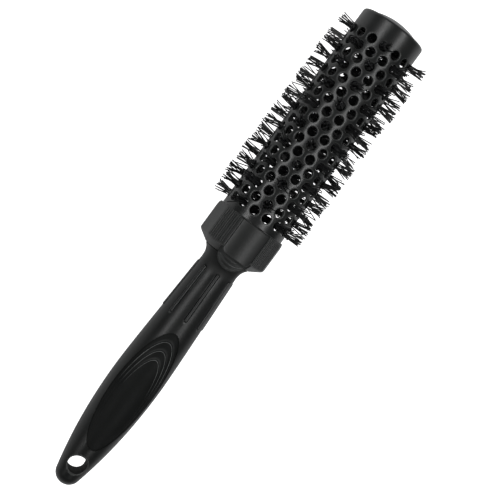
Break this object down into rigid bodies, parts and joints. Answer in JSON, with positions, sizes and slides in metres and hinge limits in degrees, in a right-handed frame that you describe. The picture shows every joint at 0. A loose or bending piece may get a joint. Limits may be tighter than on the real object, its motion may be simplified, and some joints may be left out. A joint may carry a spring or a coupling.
{
  "type": "round barrel hair brush",
  "caption": "Round hair brush: perforated hollow barrel with radial nylon tufts on a wire core, ribbed collar, and a swelling round handle with thumb panels and a hang hole.",
  "frame": {"origin": "centre of the bounding box in X and Y, at the height of the lowest bristle tips", "axes": "+X along the brush axis from the tail to the end cap, +Z out of the front (thumb) side"},
  "size_m": [0.255, 0.0486, 0.0487],
  "materials": {
    "grip_plastic": "satin moulded",
    "core_plastic": "moulded",
    "panel_rubber": "soft satin",
    "grip_rubber": "soft satin",
    "collar_plastic": "fine grooved satin",
    "collar_plate": "satin",
    "barrel_coating": "black coated, satin",
    "cap_plastic": "satin gloss",
    "steel_wire": "drawn wire",
    "nylon_bristle": "semi gloss nylon strands"
  },
  "bodies": {
    "root": {"handle_core": "core_plastic", "handle_grip": "grip_plastic", "thumb_panel_front": "panel_rubber", "thumb_panel_back": "panel_rubber", "neck_rib_1": "grip_rubber", "neck_rib_2": "grip_rubber", "neck_rib_3": "grip_rubber", "neck_rib_4": "grip_rubber", "neck_rib_5": "grip_rubber", "neck_rib_6": "grip_rubber", "neck_rib_7": "grip_rubber", "neck_rib_8": "grip_rubber", "collar": "collar_plastic", "collar_plate_front": "collar_plate", "collar_plate_back": "collar_plate", "barrel_tube": "barrel_coating", "end_cap": "cap_plastic", "wire_strand_a": "steel_wire", "wire_strand_b": "steel_wire", "bristle_column_0": "nylon_bristle", "bristle_column_1": "nylon_bristle", "bristle_column_2": "nylon_bristle", "bristle_column_3": "nylon_bristle", "bristle_column_4": "nylon_bristle", "bristle_column_5": "nylon_bristle", "bristle_column_6": "nylon_bristle", "bristle_column_7": "nylon_bristle", "bristle_column_8": "nylon_bristle", "bristle_column_9": "nylon_bristle"}
  },
  "joints": []
}
